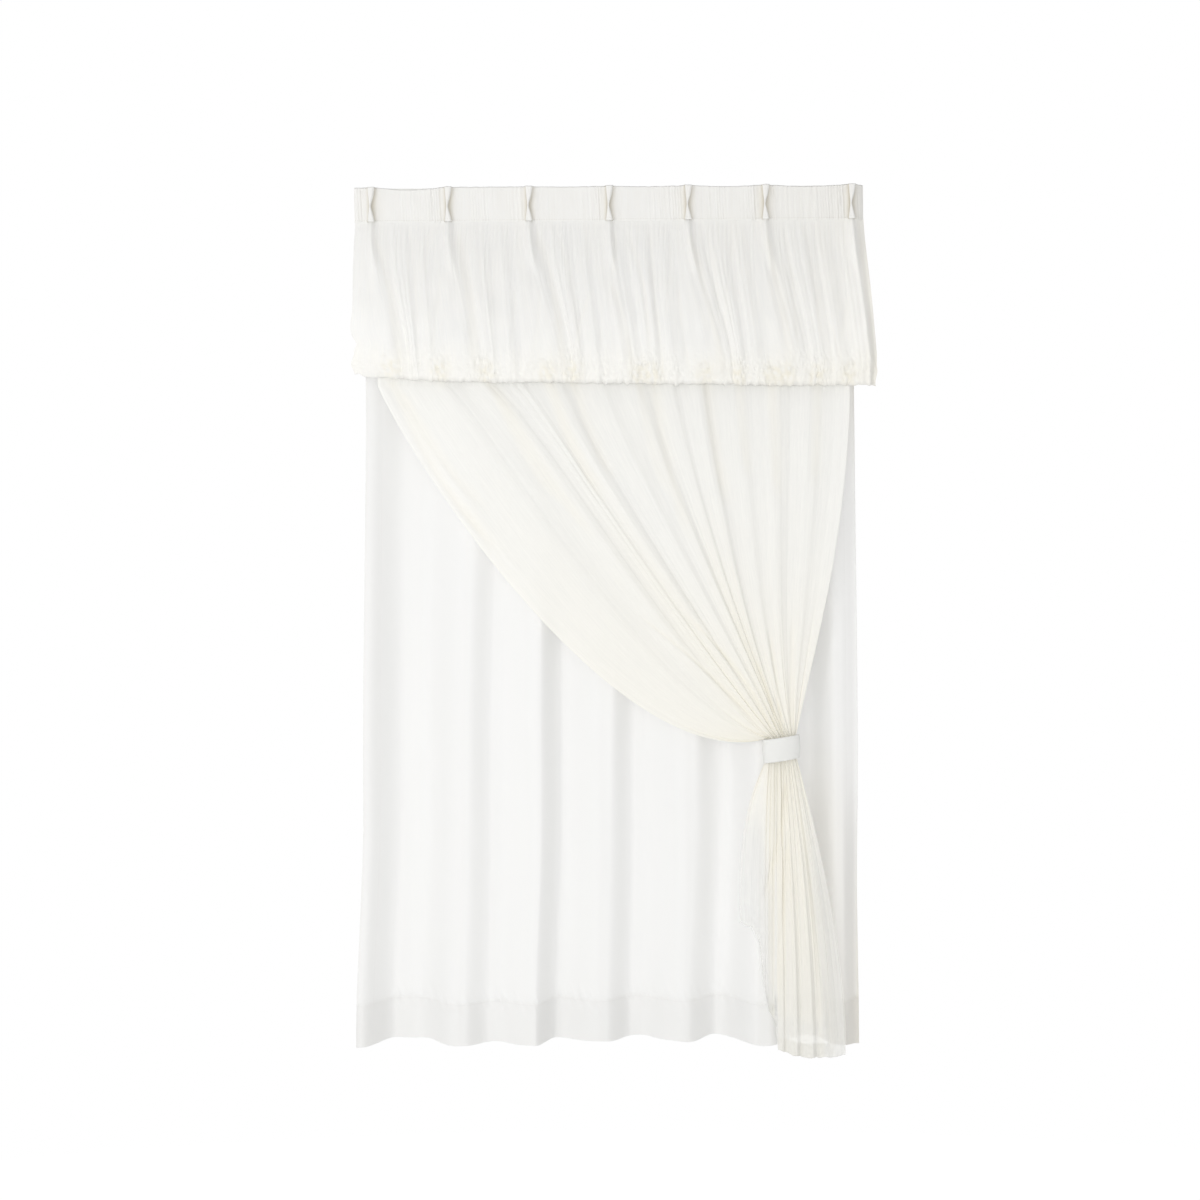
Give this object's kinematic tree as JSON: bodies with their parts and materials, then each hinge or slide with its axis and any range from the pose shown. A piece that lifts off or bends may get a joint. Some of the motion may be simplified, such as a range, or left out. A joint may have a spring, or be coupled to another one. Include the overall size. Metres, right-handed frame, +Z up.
{
  "type": "balloon curtain with a gathered valance and a tied-back sheer",
  "caption": "Pleated curtain: a plain back panel, a sheer drawn to one side by a tie band, and a gathered balloon valance above.",
  "frame": {"origin": "middle of the heading's top edge, on the line where the curtain hangs", "axes": "+X along the rail to the right as seen from the room, +Y from the room to the window, +Z up"},
  "size_m": [1.0771, 0.1876, 1.794],
  "materials": {
    "heading_cloth": "stiffened off-white sheer, finely gathered",
    "valance_cloth": "soft off-white sheer",
    "swag_cloth": "soft cream sheer",
    "panel_cloth": "matt white close weave",
    "tie_cloth": "stiffened white satin weave"
  },
  "bodies": {
    "root": {"heading_band": "heading_cloth", "valance": "valance_cloth", "swag_sheer": "swag_cloth", "back_panel": "panel_cloth", "tie_band": "tie_cloth"}
  },
  "joints": []
}
